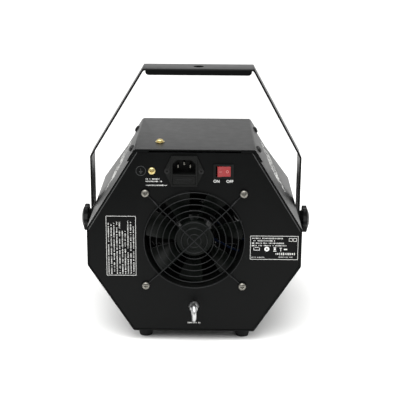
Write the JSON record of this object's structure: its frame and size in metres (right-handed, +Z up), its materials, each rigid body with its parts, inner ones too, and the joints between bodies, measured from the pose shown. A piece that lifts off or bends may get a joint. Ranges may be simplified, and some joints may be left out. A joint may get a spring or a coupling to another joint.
{
  "type": "bubble machine",
  "caption": "Octagonal sheet-steel bubble machine with a tilting yoke, a mains fan behind a wire guard, a wand wheel over a fluid tank and a sloping mouth.",
  "frame": {"origin": "on the surface that it stands on, in the middle of the whole machine's width and length", "axes": "+Z up; the mouth faces -Y and the rear panel with the fan faces +Y; +X is to the right of a person who faces the mouth; the yoke pivots about X"},
  "size_m": [0.267, 0.2679, 0.2886],
  "materials": {
    "powder_coat": "satin black powder coat on folded sheet steel",
    "black_plastic": "moulded black glass-filled plastic",
    "guard_wire": "black lacquered steel wire",
    "rubber": "moulded black rubber",
    "zinc_steel": "bright zinc-plated steel",
    "brass": "turned brass",
    "nickel": "bright nickel plate",
    "black_screw": "black oxide steel",
    "red_plastic": "red polycarbonate",
    "white_nylon": "moulded natural nylon",
    "fuse_glass": "clear glass tube",
    "lead_blue": "blue PVC insulation",
    "lead_brown": "brown PVC insulation"
  },
  "bodies": {
    "case": {"case_shell": "powder_coat", "lid": "powder_coat", "rear_panel": "powder_coat", "front_panel": "powder_coat", "bulkhead": "zinc_steel", "lid_screw_left_rear": "black_screw", "lid_screw_left_front": "black_screw", "lid_screw_right_rear": "black_screw", "lid_screw_right_front": "black_screw", "lid_terminal_washer": "brass", "lid_terminal_screw": "brass", "foot_front_left": "rubber", "foot_front_right": "rubber", "foot_rear_left": "rubber", "foot_rear_right": "rubber", "foot_screw_front_left": "zinc_steel", "foot_screw_front_right": "zinc_steel", "foot_screw_rear_left": "zinc_steel", "foot_screw_rear_right": "zinc_steel", "inlet_body": "black_plastic", "inlet_pin_earth": "nickel", "inlet_pin_live": "nickel", "inlet_pin_neutral": "nickel", "inlet_screw_left": "black_screw", "inlet_screw_right": "black_screw", "switch_body": "black_plastic", "earth_screw": "brass", "eye_bolt": "nickel", "eye_bolt_nut": "nickel", "eye_bolt_lock_nut": "zinc_steel", "fan_frame": "black_plastic", "fan_guard": "guard_wire", "fan_screw_upper_right": "nickel", "fan_screw_upper_left": "nickel", "fan_screw_lower_left": "nickel", "fan_screw_lower_right": "nickel", "pivot_washer_left": "zinc_steel", "pivot_washer_right": "zinc_steel", "pivot_nut_left": "zinc_steel", "pivot_nut_right": "zinc_steel", "motor_bracket": "zinc_steel", "gear_motor": "zinc_steel", "fluid_tank": "black_plastic", "terminal_block": "white_nylon", "lead_inlet_to_switch": "lead_brown", "lead_switch_to_block": "lead_brown", "lead_block_to_fan": "lead_blue", "lead_block_to_motor": "lead_blue"},
    "yoke": {"yoke": "powder_coat"},
    "knob_left": {"knob_left": "black_plastic", "knob_stud_left": "zinc_steel"},
    "knob_right": {"knob_right": "black_plastic", "knob_stud_right": "zinc_steel"},
    "fan_rotor": {"fan_rotor": "black_plastic"},
    "wheel": {"wand_wheel": "black_plastic", "wheel_shaft": "zinc_steel", "wheel_nut": "brass"},
    "rocker": {"switch_rocker": "red_plastic"},
    "fuse_drawer": {"fuse_drawer": "black_plastic", "fuse": "fuse_glass"}
  },
  "joints": [
    {"name": "yoke_tilt", "type": "hinge", "parent": "case", "child": "yoke", "pos_m": [0, 0, 0.1094], "axis": [1, 0, 0], "range_deg": [-50, 55]},
    {"name": "knob_left_turn", "type": "hinge", "parent": "case", "child": "knob_left", "pos_m": [-0.12, 0, 0.1094], "axis": [-1, 0, 0], "range_deg": [0, 360]},
    {"name": "knob_right_turn", "type": "hinge", "parent": "case", "child": "knob_right", "pos_m": [0.12, 0, 0.1094], "axis": [1, 0, 0], "range_deg": [0, 360]},
    {"name": "fan_spin", "type": "hinge", "parent": "case", "child": "fan_rotor", "pos_m": [0, 0.09, 0.1182], "axis": [0, 1, 0], "continuous": true},
    {"name": "wheel_spin", "type": "hinge", "parent": "case", "child": "wheel", "pos_m": [0, 0.003, 0.1182], "axis": [0, 1, 0], "continuous": true},
    {"name": "rocker_tilt", "type": "hinge", "parent": "case", "child": "rocker", "pos_m": [-0.0305, 0.1032, 0.195], "axis": [0, 0, 1], "range_deg": [-16, 0]},
    {"name": "fuse_drawer_slide", "type": "slide", "parent": "case", "child": "fuse_drawer", "axis": [0, 1, 0], "range_m": [0, 0.014]}
  ]
}
